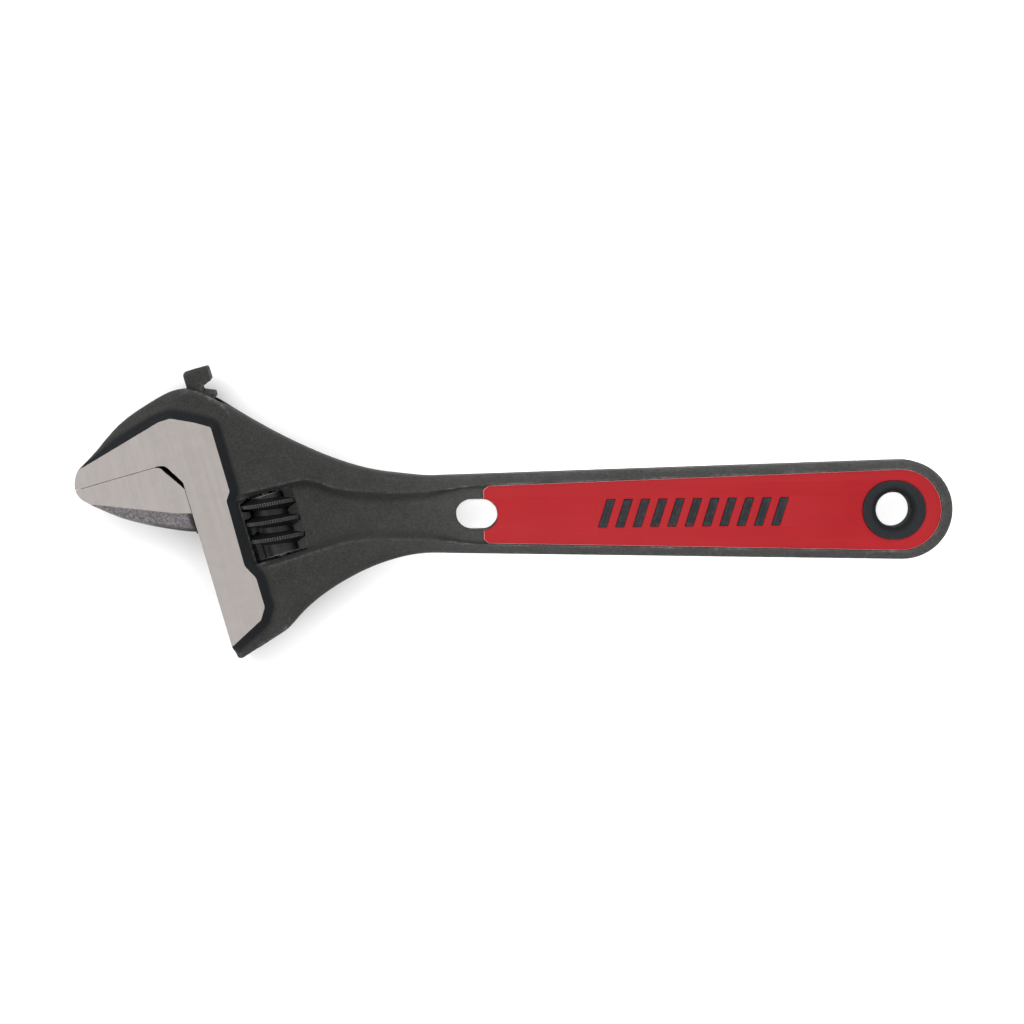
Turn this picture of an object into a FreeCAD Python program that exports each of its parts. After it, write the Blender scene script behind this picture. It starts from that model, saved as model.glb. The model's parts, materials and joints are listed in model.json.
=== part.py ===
import FreeCAD, Part
import math
import os

# Adjustable wrench, 200 mm nominal, lying flat with its jaws closed.
# The origin is the middle of the hanging eye. +X runs along the handle towards the eye end,
# +Y is the fixed-jaw side and +Z is up through the thickness. Millimetres and degrees.
# In the head, p runs across from the slide face towards the handle and a runs the way the jaw opens.
# Both start at the jaw corner, where the fixed jaw's face would meet the slide face.

VEC = FreeCAD.Vector

# Forging
REACH = 169.0               # eye centre to jaw corner, along the handle
CORNER_RISE = 13.7          # jaw corner above the handle's centre line
HEAD_ANGLE = 15.4           # the jaws' turn from square to the handle
JAW_LENGTH = 24.9           # slide face to jaw tip
SLIDE_LENGTH = 49.3         # jaw corner to the foot of the slide
JAW_THICKNESS = 14.0        # across the two ground faces
LAND_THICKNESS = 10.0       # black forging round the worm window
HANDLE_THICKNESS = 8.6      # across the handle's rims
NECK_ABOVE = 9.2            # centre line to the narrowest place's upper and lower edges
NECK_BELOW = 8.95
HANDLE_WIDTH = 23.44        # at the eye end
NECK_FROM_CORNER = 60.0     # jaw corner to the narrowest place, along the handle
EDGE_CHAMFER = 0.9
BAND_WIDTH = 2.3            # sloping band round the ground faces
STRIP_WIDTH = 9.9           # ground strip along the slide

# Handle recess, the oblong hole and the eye
PANEL_FLOOR = 6.6           # thickness left under the panels
NECK_FLOOR = 5.2            # thickness left between the panels and the worm
RECESS_TOP = 12.2           # walls of the recess above and below the worm
RECESS_FOOT = 29.4
RIM_AT_NECK = 2.26
RIM_AT_EYE = 2.0
SLOT_FROM_CORNER = 70.2     # jaw corner to the oblong hole's middle
SLOT_LENGTH = 9.9
SLOT_HEIGHT = 7.4
EYE_DIAMETER = 8.2
EYE_THROAT = 3.2            # straight middle stretch of the eye
EYE_MOUTH = 11.2            # where the funnel meets the ring
RING_LENGTH = 14.8
RING_HEIGHT = 13.7
BAR_COUNT = 11              # raised slanted bars through the panels
BAR_PITCH = 4.1
BAR_WIDTH = 1.7
BAR_HEIGHT = 6.4
BAR_SLANT = 18.0
BAR_PLACE = -47.5           # middle of the row of bars
BAR_STAND = 0.35            # bars above the panel's face

# Panels
PANEL_THICKNESS = 0.5
PANEL_GAP = 0.12            # between a panel's edge and what it fits round

# Jaw, rack and worm
SLIDE_GAP = 0.1             # jaw to fixed jaw and slide face, closed
CORNER_GAP = 1.4            # jaw to the fillet in the corner
CORNER_FOOT = 5.4           # where that fillet meets the slide face
ROD_DIAMETER = 7.5
ROD_PLACE = 10.0            # rod axis behind the slide face
TIP_RISE = 2.6              # flat tooth tips beyond the rod's axis
ROD_TOP = 19.7              # rod end above the jaw face
ROD_FOOT = 17.9             # rod end below the jaw face
ROD_GAP = 0.15              # rod to its bore, each side
KEY_THICKNESS = 4.4         # web between jaw and rod
KEY_GAP = 0.2
KEY_TOP = 7.0               # web's upper end below the jaw face, closed
PITCH = 4.2
WORM_RADIUS = 6.9
WORM_ROOT = 4.2
WORM_LENGTH = 14.5
WORM_START = 13.5           # upper end of the worm below the jaw face
THREAD_START = 14.0         # middle of the thread at its upper end
THREAD_TURNS = 2.75
CREST_WIDTH = 0.8
ROOT_WIDTH = 2.8
MESH_GAP = 0.2              # crest to root and root to crest
FLANK_GAP = 0.17            # thread to tooth, each flank, along the rod
MESH_PLACE = 14.6           # a rack gap's middle below the jaw face, closed
WINDOW_TOP_GAP = 0.5
WINDOW_FOOT_GAP = 0.7
WORM_SIDE_GAP = 0.3

# Worm pin and spring
PIN_DIAMETER = 3.0
PIN_GAP = 0.05
PIN_SEAT = 3.6              # blind hole above the window
PIN_FOOT = 41.6             # outer end of the pin below the jaw face
SPRING_WIRE = 0.6
SPRING_DIAMETER = 5.0       # outside
SPRING_POCKET = 8.0
SPRING_COILS = 6
SPRING_SEAT_GAP = 0.1       # the turning worm's pocket to the spring

# Worked out
HALF_JAW = JAW_THICKNESS / 2
HALF_LAND = LAND_THICKNESS / 2
HALF_HANDLE = HANDLE_THICKNESS / 2
NECK_X = NECK_FROM_CORNER - REACH
SLOT_X = SLOT_FROM_CORNER - REACH
PANEL_START = SLOT_X + 1.7
END_RADIUS = HANDLE_WIDTH / 2
END_X = 2.2
PANEL_END_X = 1.6
TOOTH_DEPTH = WORM_RADIUS - WORM_ROOT
TIP_PLACE = ROD_PLACE + TIP_RISE
WORM_PLACE = TIP_PLACE + MESH_GAP + WORM_ROOT
WINDOW_TOP = WORM_START - WINDOW_TOP_GAP
WINDOW_FOOT = WORM_START + WORM_LENGTH + WINDOW_FOOT_GAP
WINDOW_FRONT = ROD_PLACE + 1.2
FAR = 400.0                 # longer than the wrench, for cutters
OVERRUN = 1.0               # how far a cutter runs past a face
SPRING_RADIUS = (SPRING_DIAMETER - SPRING_WIRE) / 2

TURN = math.radians(HEAD_ANGLE)
ACROSS = VEC(math.cos(TURN), math.sin(TURN), 0)
OPENING = VEC(math.sin(TURN), -math.cos(TURN), 0)
UP = VEC(0, 0, 1)


def head(p, a, z=0.0):
    """A point of the head, from its distances across and along the slide."""
    return VEC(-REACH, CORNER_RISE, z) + ACROSS * p + OPENING * a


def neck(x, y):
    """A point given by its distance from the jaw corner along the handle, and its height."""
    return VEC(x - REACH, y, 0)


def line(start, end):
    return Part.LineSegment(start, end).toShape()


def arc(start, middle, end):
    return Part.Arc(start, middle, end).toShape()


def curve(points, start_way=None, end_way=None):
    """A smooth curve through the points, leaving and arriving in the given directions."""
    spline = Part.BSplineCurve()
    if start_way is None:
        spline.interpolate(points)
    else:
        spline.interpolate(points, InitialTangent=start_way, FinalTangent=end_way)
    return spline.toShape()


def slab(wire, half):
    """The outline's prism, half thickness each side of the middle plane."""
    flat = Part.Face(wire)
    flat.translate(VEC(0, 0, -half))
    return flat.extrude(VEC(0, 0, 2 * half))


def outline(points):
    return Part.makePolygon(points + points[:1])


def lifted(wire, z):
    copy = wire.copy()
    copy.translate(VEC(0, 0, z))
    return copy


def plateau(face_outline, wide_outline):
    """A slab whose ground faces have one outline and whose foot, at the land, has a wider one."""
    top = Part.makeLoft([lifted(wide_outline, HALF_LAND - 1), lifted(face_outline, HALF_JAW)], True, True)
    under = Part.makeLoft([lifted(wide_outline, 1 - HALF_LAND), lifted(face_outline, -HALF_JAW)], True, True)
    middle = slab(wide_outline, HALF_LAND - 1)
    return top.fuse([under, middle]).removeSplitter()


def oblong(x, length, height):
    """Outline with two straight sides and rounded ends, along the handle."""
    radius = height / 2
    reach = length / 2 - radius
    left = VEC(x - reach, 0, 0)
    right = VEC(x + reach, 0, 0)
    rise = VEC(0, radius, 0)
    out = VEC(radius, 0, 0)
    return Part.Wire([
        line(left + rise, right + rise),
        arc(right + rise, right + out, right - rise),
        line(right - rise, left - rise),
        arc(left - rise, left - out, left + rise),
    ])


def tapered(start_x, start_half, end_half):
    """Outline of the handle's recess or of a panel: straight sides that spread to a round end."""
    slope = (end_half - start_half) / (PANEL_END_X - start_x)
    lean = VEC(-slope, 1, 0).normalize() * end_half
    top = VEC(PANEL_END_X, 0, 0) + lean
    foot = VEC(top.x, -top.y, 0)
    return Part.Wire([
        line(VEC(start_x, start_half, 0), top),
        arc(top, VEC(PANEL_END_X + end_half, 0, 0), foot),
        line(foot, VEC(start_x, -start_half, 0)),
        line(VEC(start_x, -start_half, 0), VEC(start_x, start_half, 0)),
    ])


def rod_along(p, radius, start, end):
    """A cylinder in the head, parallel to the slide, at mid thickness."""
    return Part.makeCylinder(radius, end - start, head(p, start), OPENING)


def head_box(p0, p1, a0, a1, half):
    """A box in the head, square to the slide."""
    return slab(outline([head(p0, a0), head(p1, a0), head(p1, a1), head(p0, a1)]), half)


def forging_outline():
    """Silhouette of the fixed forging, from the jaw tip round the slide, handle and back."""
    rise = (END_RADIUS - NECK_ABOVE) / (END_X - NECK_X)
    fall = (END_RADIUS - NECK_BELOW) / (END_X - NECK_X)
    end_top = VEC(END_X, 0, 0) + VEC(-rise, 1, 0).normalize() * END_RADIUS
    end_foot = VEC(END_X, 0, 0) - VEC(fall, 1, 0).normalize() * END_RADIUS
    neck_top = VEC(NECK_X, NECK_ABOVE, 0)
    neck_foot = VEC(NECK_X, -NECK_BELOW, 0)
    tip = -JAW_LENGTH
    foot = SLIDE_LENGTH
    shoulder = head(12.6, foot - 3.5)
    brow = head(tip + 2.2, -4.5)
    return Part.Wire([
        line(head(tip, 0), head(-4.7, 0)),
        arc(head(-4.7, 0), head(-3.5, 0.25), head(-2.6, 0.9)),
        line(head(-2.6, 0.9), head(0, CORNER_FOOT)),
        line(head(0, CORNER_FOOT), head(0, foot - 1.1)),
        arc(head(0, foot - 1.1), head(0.35, foot - 0.2), head(1.2, foot)),
        line(head(1.2, foot), shoulder),
        curve(
            [shoulder, neck(28, -23.5), neck(35.2, -17.5), neck(42.4, -13.4), neck(49.5, -10.6), neck_foot],
            head(12.6, foot - 3.5) - head(1.2, foot),
            VEC(1, -fall, 0),
        ),
        line(neck_foot, end_foot),
        arc(end_foot, VEC(END_X + END_RADIUS, 0, 0), end_top),
        line(end_top, neck_top),
        curve(
            [
                neck_top, neck(53.3, 9.7), neck(46.2, 10.7), neck(32, 15.4), neck(17.8, 22.7),
                head(12.8, -11.0), head(5.4, -16.0), head(-2.2, -15.1), head(-11.5, -11.8), brow,
            ],
            VEC(-1, -rise, 0),
            VEC(-0.72, -0.7, 0),
        ),
        arc(brow, head(tip + 0.6, -2.3), head(tip, 0)),
    ])


def fixed_ground_outline():
    """The fixed jaw's bright face and the bright strip beside the slide, with the window's notch."""
    tip = -JAW_LENGTH
    strip = STRIP_WIDTH
    foot = SLIDE_LENGTH
    return [
        head(tip - OVERRUN, OVERRUN),
        head(tip - OVERRUN, -2.4),
        head(tip + 2.8, -4.6),
        head(-1.6, -9.9),
        head(1.3, -10.0),
        head(6.5, -7.5),
        head(strip, -5.4),
        head(strip, 10.3),
        head(strip - 1.3, 12.2),
        head(strip - 1.6, 28.2),
        head(strip + 0.2, 31.6),
        head(strip + 0.2, 38.8),
        head(strip - 1.5, 41.5),
        head(0.3, foot - 3.7),
        head(-OVERRUN, foot - 3.2),
        head(-OVERRUN, OVERRUN),
    ]


def jaw_ground_outline():
    """The movable jaw's bright face, run out past its straight edges."""
    tip = -JAW_LENGTH
    return [
        head(tip - OVERRUN, -OVERRUN),
        head(OVERRUN, -OVERRUN),
        head(OVERRUN, 12.7),
        head(-3.8, 11.7),
        head(tip + 5.4, 5.3),
        head(tip + 2.0, 4.1),
        head(tip - OVERRUN, 2.4),
    ]


def spread(points, width):
    """The same outline moved out all round, corners kept."""
    wide = Part.Wire(outline(points)).makeOffset2D(width, join=2)
    return wide if wide.ShapeType == "Wire" else wide.Wires[0]


def ground_body(points):
    return plateau(Part.Wire(outline(points)), spread(points, BAND_WIDTH))


def softened(solid, wires_z, size):
    """Chamfers the edges that lie wholly on the given heights."""
    edges = []
    for edge in solid.Edges:
        box = edge.BoundBox
        if box.ZLength < 0.001 and min(abs(abs(box.ZMin) - z) for z in wires_z) < 0.001:
            edges.append(edge)
    return solid.makeChamfer(size, edges)


def blank():
    """The forging before machining: handle, head and raised ground plateau."""
    whole = forging_outline()
    handle = softened(slab(whole, HALF_HANDLE), [HALF_HANDLE], EDGE_CHAMFER)
    head_side = Part.makeBox(NECK_X + 12 + FAR, FAR, FAR, VEC(-FAR, -FAR / 2, -FAR / 2))
    head_part = softened(slab(whole, HALF_LAND).common(head_side), [HALF_LAND], EDGE_CHAMFER)
    ground = ground_body(fixed_ground_outline()).common(slab(whole, HALF_JAW + OVERRUN))
    return handle.fuse([head_part, ground]).removeSplitter()


def recess():
    """Both faces' recesses: shallow under the panels, deeper from there into the worm window."""
    start_half = NECK_ABOVE - RIM_AT_NECK
    shallow = slab(tapered(PANEL_START - PANEL_GAP, start_half, END_RADIUS - RIM_AT_EYE), FAR)
    deep = slab(
        outline([
            head(WINDOW_FRONT, RECESS_TOP), head(26.5, RECESS_TOP), neck(36, 6.9), neck(43, 5.9),
            neck(50, 5.5), neck(60, 5.7), VEC(PANEL_START, start_half, 0), VEC(PANEL_START, -start_half, 0),
            neck(60, -5.7), neck(50, -5.4), neck(41, -5.6), neck(36, -6.8), head(24, RECESS_FOOT),
            head(WINDOW_FRONT, RECESS_FOOT),
        ]),
        FAR,
    )
    panel_bed = Part.makeBox(2 * FAR, FAR, PANEL_FLOOR, VEC(-FAR, -FAR / 2, -PANEL_FLOOR / 2))
    neck_bed = Part.makeBox(2 * FAR, FAR, NECK_FLOOR, VEC(-FAR, -FAR / 2, -NECK_FLOOR / 2))
    return shallow.cut(panel_bed), deep.cut(neck_bed)


def ring():
    """Raised ring round the hanging eye."""
    return slab(oblong(0, RING_LENGTH, RING_HEIGHT), HALF_HANDLE)


def eye():
    """The hanging eye: a straight throat with a funnel from each face."""
    throat = EYE_THROAT / 2
    small = EYE_DIAMETER / 2
    large = EYE_MOUTH / 2
    rise = HALF_HANDLE - throat
    bore = Part.makeCylinder(small, FAR, VEC(0, 0, -FAR / 2))
    upper = Part.makeCone(small, large, rise, VEC(0, 0, throat))
    lower = Part.makeCone(large, small, rise, VEC(0, 0, -HALF_HANDLE))
    return bore.fuse([upper, lower])


def bar_outlines(grow=0.0):
    """The row of slanted bars, grown all round for the panels' windows."""
    wires = []
    for i in range(BAR_COUNT):
        middle = BAR_PLACE + BAR_PITCH * (i - (BAR_COUNT - 1) / 2)
        half = BAR_HEIGHT / 2 + grow
        lean = half * math.tan(math.radians(BAR_SLANT))
        wide = BAR_WIDTH / 2 + grow
        wires.append(outline([
            VEC(middle - wide - lean, -half, 0), VEC(middle + wide - lean, -half, 0),
            VEC(middle + wide + lean, half, 0), VEC(middle - wide + lean, half, 0),
        ]))
    return wires


def bars():
    top = PANEL_FLOOR / 2 + PANEL_THICKNESS + BAR_STAND
    return [slab(wire, top) for wire in bar_outlines()]


def worm_window():
    """The opening for the worm: straight beside the rack, round behind the worm."""
    front = head_box(WINDOW_FRONT, WORM_PLACE, WINDOW_TOP, WINDOW_FOOT, FAR)
    back = rod_along(WORM_PLACE, WORM_RADIUS + WORM_SIDE_GAP, WINDOW_TOP, WINDOW_FOOT)
    return front.fuse(back)


def wrench_body():
    shallow, deep = recess()
    solid = blank().cut([shallow, deep])
    solid = solid.fuse([ring()] + bars()).removeSplitter()
    bore = rod_along(ROD_PLACE, ROD_DIAMETER / 2 + ROD_GAP, -FAR / 2, FAR / 2)
    key_way = head_box(-OVERRUN, ROD_PLACE, KEY_TOP - KEY_GAP, FAR, KEY_THICKNESS / 2 + KEY_GAP)
    pin_hole = rod_along(WORM_PLACE, PIN_DIAMETER / 2, WINDOW_TOP - PIN_SEAT, FAR)
    slot = slab(oblong(SLOT_X, SLOT_LENGTH, SLOT_HEIGHT), FAR)
    return solid.cut([bore, key_way, worm_window(), pin_hole, slot, eye()]).removeSplitter()


def jaw_outline():
    """Silhouette of the movable jaw, closed."""
    tip = -JAW_LENGTH
    gap = SLIDE_GAP
    return Part.Wire([
        line(head(tip, gap), head(-5.5, gap)),
        arc(head(-5.5, gap), head(-4.45, 0.43), head(-3.75, 1.3)),
        line(head(-3.75, 1.3), head(-gap, CORNER_FOOT + CORNER_GAP)),
        line(head(-gap, CORNER_FOOT + CORNER_GAP), head(-gap, 17.8)),
        curve([head(-gap, 17.8), head(-6.4, 15.2), head(-12.0, 12.3), head(tip + 3.6, 5.4), head(tip + 1.6, 3.4)]),
        arc(head(tip + 1.6, 3.4), head(tip + 0.4, 1.8), head(tip, gap)),
    ])


def movable_jaw():
    """Jaw, key and toothed rod, one forging."""
    whole = jaw_outline()
    jaw = softened(slab(whole, HALF_LAND), [HALF_LAND], EDGE_CHAMFER)
    ground = ground_body(jaw_ground_outline()).common(slab(whole, HALF_JAW + OVERRUN))
    key = head_box(-OVERRUN, ROD_PLACE, KEY_TOP, ROD_FOOT, KEY_THICKNESS / 2)
    rod = rod_along(ROD_PLACE, ROD_DIAMETER / 2, -ROD_TOP, ROD_FOOT)
    rod = rod.common(head_box(-FAR, TIP_PLACE, -FAR, FAR, FAR))
    solid = jaw.fuse([ground, key, rod]).removeSplitter()
    gaps = []
    for k in range(-7, 2):
        gaps.append(rack_gap(MESH_PLACE + PITCH * k))
    return solid.cut(gaps).removeSplitter()


def thread_profile(extra_height, extra_side):
    """Half a thread's section: radius and half width at the root and at the crest."""
    slope = (ROOT_WIDTH - CREST_WIDTH) / 2 / TOOTH_DEPTH
    crest_radius = WORM_RADIUS + extra_height
    crest = CREST_WIDTH / 2 + extra_side - slope * extra_height
    root_radius = WORM_ROOT - 0.6
    root = ROOT_WIDTH / 2 + extra_side + slope * 0.6
    return root_radius, root, crest_radius, crest


def rack_gap(a):
    """One gap of the rack: a straight cut with the thread's section, leaning by the thread's lead."""
    root_radius, root, crest_radius, crest = thread_profile(MESH_GAP, FLANK_GAP)
    lead = PITCH / (math.pi * (WORM_RADIUS + WORM_ROOT))
    along = (UP + OPENING * lead) * JAW_THICKNESS
    section = outline([
        head(WORM_PLACE - root_radius, a - root), head(WORM_PLACE - crest_radius, a - crest),
        head(WORM_PLACE - crest_radius, a + crest), head(WORM_PLACE - root_radius, a + root),
    ])
    section.translate(along * -0.5)
    return Part.Face(section).extrude(along)


def placed_on_worm(shape, a):
    """Turns a shape made about +Z onto the worm axis: its +X faces the rack, its +Z the opening way."""
    matrix = FreeCAD.Matrix(
        -ACROSS.x, 0, OPENING.x, 0,
        -ACROSS.y, 0, OPENING.y, 0,
        0, -1, 0, 0,
        0, 0, 0, 1,
    )
    placement = FreeCAD.Placement(matrix)
    placement.Base = head(WORM_PLACE, a)
    return shape.transformed(placement.toMatrix())


def thread():
    """The left-hand thread, its middle starting on the rack side at the worm's own zero height."""
    root_radius, root, crest_radius, crest = thread_profile(0.0, 0.0)
    height = PITCH * THREAD_TURNS
    path = Part.Wire(Part.makeHelix(PITCH, height, root_radius).Edges)
    section = Part.Wire(outline([
        VEC(root_radius, 0, -root), VEC(crest_radius, 0, -crest),
        VEC(crest_radius, 0, crest), VEC(root_radius, 0, root),
    ]))
    ridge = path.makePipeShell([section], True, True)
    return ridge.mirror(VEC(0, 0, 0), VEC(0, 1, 0))


def worm():
    """Knurled screw that drives the rack, with a bore for the pin and a pocket for the spring."""
    hub = Part.makeCylinder(WORM_ROOT, WORM_LENGTH)
    ridge = thread()
    start = THREAD_START - WORM_START
    turn = (MESH_PLACE - THREAD_START) / PITCH * 360
    ridge.rotate(VEC(0, 0, 0), UP, turn)
    ridge.translate(VEC(0, 0, start))
    bore = Part.makeCylinder(PIN_DIAMETER / 2 + PIN_GAP, 3 * WORM_LENGTH, VEC(0, 0, -WORM_LENGTH))
    pocket = Part.makeCylinder(SPRING_DIAMETER / 2 + 0.2, SPRING_POCKET, VEC(0, 0, WORM_LENGTH - SPRING_POCKET))
    limit = Part.makeCylinder(WORM_RADIUS + 1, WORM_LENGTH)
    solid = hub.fuse(ridge).common(limit).cut([bore, pocket]).removeSplitter()
    return placed_on_worm(solid, WORM_START)


def worm_pin():
    """Plain steel pin, pressed in from the foot of the head."""
    start = WINDOW_TOP - PIN_SEAT
    pin = rod_along(WORM_PLACE, PIN_DIAMETER / 2, start, PIN_FOOT)
    return pin.makeChamfer(0.35, [pin.Edges[0], pin.Edges[2]])


def worm_spring():
    """Compression spring round the pin, between the worm's pocket and the window's foot."""
    length = SPRING_POCKET + WINDOW_FOOT_GAP - SPRING_WIRE - SPRING_SEAT_GAP
    pitch = length / SPRING_COILS
    path = Part.Wire(Part.makeHelix(pitch, length, SPRING_RADIUS).Edges)
    circle = Part.Wire(Part.makeCircle(SPRING_WIRE / 2, VEC(SPRING_RADIUS, 0, 0), VEC(0, 1, 0)))
    coil = path.makePipeShell([circle], True, True)
    coil.translate(VEC(0, 0, SPRING_WIRE / 2 + SPRING_SEAT_GAP))
    return placed_on_worm(coil, WORM_START + WORM_LENGTH - SPRING_POCKET)


def front_panel():
    """Thin red panel, die-cut round the oblong hole, the ring and the raised bars."""
    start_half = NECK_ABOVE - RIM_AT_NECK - PANEL_GAP
    wire = tapered(PANEL_START, start_half, END_RADIUS - RIM_AT_EYE - PANEL_GAP)
    flat = Part.Face(wire)
    flat.translate(VEC(0, 0, PANEL_FLOOR / 2))
    sheet = flat.extrude(VEC(0, 0, PANEL_THICKNESS))
    cutters = [
        slab(oblong(SLOT_X, SLOT_LENGTH + 2 * PANEL_GAP, SLOT_HEIGHT + 2 * PANEL_GAP), FAR),
        slab(oblong(0, RING_LENGTH + 2 * PANEL_GAP, RING_HEIGHT + 2 * PANEL_GAP), FAR),
    ]
    cutters += [slab(wire, FAR) for wire in bar_outlines(PANEL_GAP)]
    return sheet.cut(cutters)


def back_panel():
    return front_panel().mirror(VEC(0, 0, 0), UP)


PIECES = {
    "wrench_body": wrench_body,
    "movable_jaw": movable_jaw,
    "worm": worm,
    "worm_pin": worm_pin,
    "worm_spring": worm_spring,
    "front_panel": front_panel,
    "back_panel": back_panel,
}

os.makedirs("parts", exist_ok=True)
for name, make in PIECES.items():
    piece = make()
    solids = piece.Solids
    box = piece.BoundBox
    print(
        name, "solids", len(solids), "valid", piece.isValid(), "volume", round(piece.Volume, 1),
        "box", [round(v, 2) for v in (box.XMin, box.XMax, box.YMin, box.YMax, box.ZMin, box.ZMax)],
    )
    if len(solids) == 1:
        piece = solids[0]
    piece.exportStep(os.path.join("parts", name + ".step"))
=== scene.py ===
import bmesh
import bpy
import json
import math
import numpy as np
from mathutils import Matrix, Vector


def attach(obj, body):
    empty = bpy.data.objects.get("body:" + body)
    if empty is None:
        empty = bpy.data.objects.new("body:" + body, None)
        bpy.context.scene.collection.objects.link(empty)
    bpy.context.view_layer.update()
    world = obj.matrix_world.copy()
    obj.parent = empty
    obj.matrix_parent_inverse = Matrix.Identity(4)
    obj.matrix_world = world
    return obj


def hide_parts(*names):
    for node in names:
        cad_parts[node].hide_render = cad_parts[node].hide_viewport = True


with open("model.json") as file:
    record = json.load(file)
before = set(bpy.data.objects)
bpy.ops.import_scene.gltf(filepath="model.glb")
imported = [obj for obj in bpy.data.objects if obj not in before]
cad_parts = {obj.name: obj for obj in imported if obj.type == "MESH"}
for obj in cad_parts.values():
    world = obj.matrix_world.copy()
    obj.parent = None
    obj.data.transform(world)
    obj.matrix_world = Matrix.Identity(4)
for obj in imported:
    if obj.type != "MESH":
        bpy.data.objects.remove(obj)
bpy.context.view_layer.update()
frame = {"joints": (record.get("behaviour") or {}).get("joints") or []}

# ----------------------------------------
# Wrench body: one drop forging in alloy steel, black phosphated all over. Its two flat faces, the
# slide and the jaw are then ground bright. The handle is recessed on both sides for the inlays,
# and the bores for the rack and the pin are machined through the head.

MM = 0.001                  # shapes are worked out in millimetres and made in metres

# Where the head stands, from the joints: p runs across from the slide, a the way the jaw opens.
WORM_PLACE = 17.0
WORM_MIDDLE = 20.75
joints = {joint["name"]: joint for joint in frame["joints"]}
opening = np.array(joints["worm_turn"]["axis"][:2])
across = np.array([-opening[1], opening[0]])
worm_at = np.array(joints["worm_turn"]["pos_m"][:2]) / MM
corner = worm_at - WORM_PLACE * across - WORM_MIDDLE * opening

HALF_JAW = 7.0
HALF_LAND = 5.0
HALF_HANDLE = 4.3
JAW_LENGTH = 24.9
SLIDE_LENGTH = 49.3
NECK_FROM_CORNER = 60.0
NECK_ABOVE = 9.2            # centre line to the narrowest place's upper and lower edges
NECK_BELOW = 8.95
END_RADIUS = 11.72
END_X = 2.2
PANEL_START = -97.1
PANEL_END_X = 1.6
RECESS_AT_NECK = 6.94       # half the recess's height at its two ends
RECESS_AT_EYE = 9.72
PANEL_FLOOR = 3.3
NECK_FLOOR = 2.6
WALL_STEEPNESS = 6.0        # rise for each millimetre across: round the inlay, at the neck, at the worm
NECK_STEEPNESS = 1.1
WORM_STEEPNESS = 1.7
WORM_RECESS_X = -125.0      # from here towards the head the recess is as it is at the worm
BAND_SLOPE = 0.78           # sloping band round the ground faces
BAND_WIDTH = 2.2
RIDGE_PLACE = 2.7           # low ridge the forging die left beyond the sloping band
RIDGE_HEIGHT = 0.32
RIDGE_WIDTH = 0.55
EDGE_AT_GROUND = 0.12       # rounding of the silhouette: at the ground faces, handle and head
EDGE_AT_HANDLE = 1.1
EDGE_AT_HEAD = 2.4
STRIP_WIDTH = 9.9
CORNER_FOOT = 5.4           # where the corner's fillet meets the slide
ROD_PLACE = 10.0
ROD_RADIUS = 3.75
ROD_GAP = 0.15
WINDOW_FRONT = 11.2
WINDOW_TOP = 13.0
WINDOW_FOOT = 28.7
WINDOW_RADIUS = 7.2         # round scoop behind the worm
WINDOW_STRAIGHT = 3.0       # beside the rack: half the straight wall, and how it opens above that
WINDOW_FLARE = 0.35
KEY_TOP = 7.0
KEY_HALF = 2.2
KEY_GAP = 0.2
PIN_RADIUS = 1.5
PIN_START = 9.4
SLOT_X = -98.8
SLOT_LENGTH = 9.9
SLOT_HEIGHT = 7.4
RING_LENGTH = 14.8
RING_HEIGHT = 13.7
EYE_RADIUS = 4.1
EYE_MOUTH = 1.9
EYE_THROAT = 1.6            # half the straight throat, and the funnel above it
EYE_FUNNEL = 2.75
BAR_COUNT = 11
BAR_PITCH = 4.1
BAR_WIDTH = 1.7
BAR_HEIGHT = 6.4
BAR_SLANT = math.radians(18.0)
BAR_MIDDLE = -47.5
BAR_TOP = 4.15
SHARP_TURN = 34             # degrees between two faces of a forging that meet in a sharp edge
NEAR_FACE = 0.02            # a mesh face is ground if it is this close to a ground side,
NEAR_EDGE = 0.05            # or this close to the slide or to an inner jaw face
FORGING_STEP = 0.5


def head(p, a):
    """A point of the head, from its distances across and along the slide."""
    return corner + p * across + a * opening


def neck(x, y):
    """A point given by its distance from the jaw corner along the handle, and its height."""
    return np.array([corner[0] + x, y])


def arc(start, middle, end, count=8):
    """Points of the round stretch through three points, without its first."""
    ways = 2 * np.array([middle - start, end - start])
    centre = np.linalg.solve(ways, [middle @ middle - start @ start, end @ end - start @ start])
    angles = [math.atan2(*(point - centre)[::-1]) for point in (start, middle, end)]
    turn = (angles[2] - angles[0]) % math.tau
    if (angles[1] - angles[0]) % math.tau > turn:
        turn -= math.tau
    radius = np.linalg.norm(start - centre)
    steps = angles[0] + turn * np.arange(1, count + 1) / count
    return [centre + radius * np.array([math.cos(t), math.sin(t)]) for t in steps]


def sweep(points, start_way, end_way, count=7):
    """Points of a smooth curve through the given ones, without its first."""
    points = np.array(points)
    spans = np.linalg.norm(np.diff(points, axis=0), axis=1)
    size = len(points)
    matrix = np.zeros((size, size))
    right = np.zeros((size, 2))
    matrix[0, 0] = matrix[-1, -1] = 1
    right[0] = start_way / np.linalg.norm(start_way)
    right[-1] = end_way / np.linalg.norm(end_way)
    for i in range(1, size - 1):
        before, after = spans[i - 1], spans[i]
        matrix[i, i - 1:i + 2] = after, 2 * (before + after), before
        last_step, next_step = points[i] - points[i - 1], points[i + 1] - points[i]
        right[i] = 3 * (after / before * last_step + before / after * next_step)
    ways = np.linalg.solve(matrix, right)
    made = []
    for i in range(size - 1):
        for t in np.arange(1, count + 1) / count:
            made.append(
                (2 * t**3 - 3 * t**2 + 1) * points[i] + (t**3 - 2 * t**2 + t) * spans[i] * ways[i]
                + (3 * t**2 - 2 * t**3) * points[i + 1] + (t**3 - t**2) * spans[i] * ways[i + 1]
            )
    return made


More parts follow.
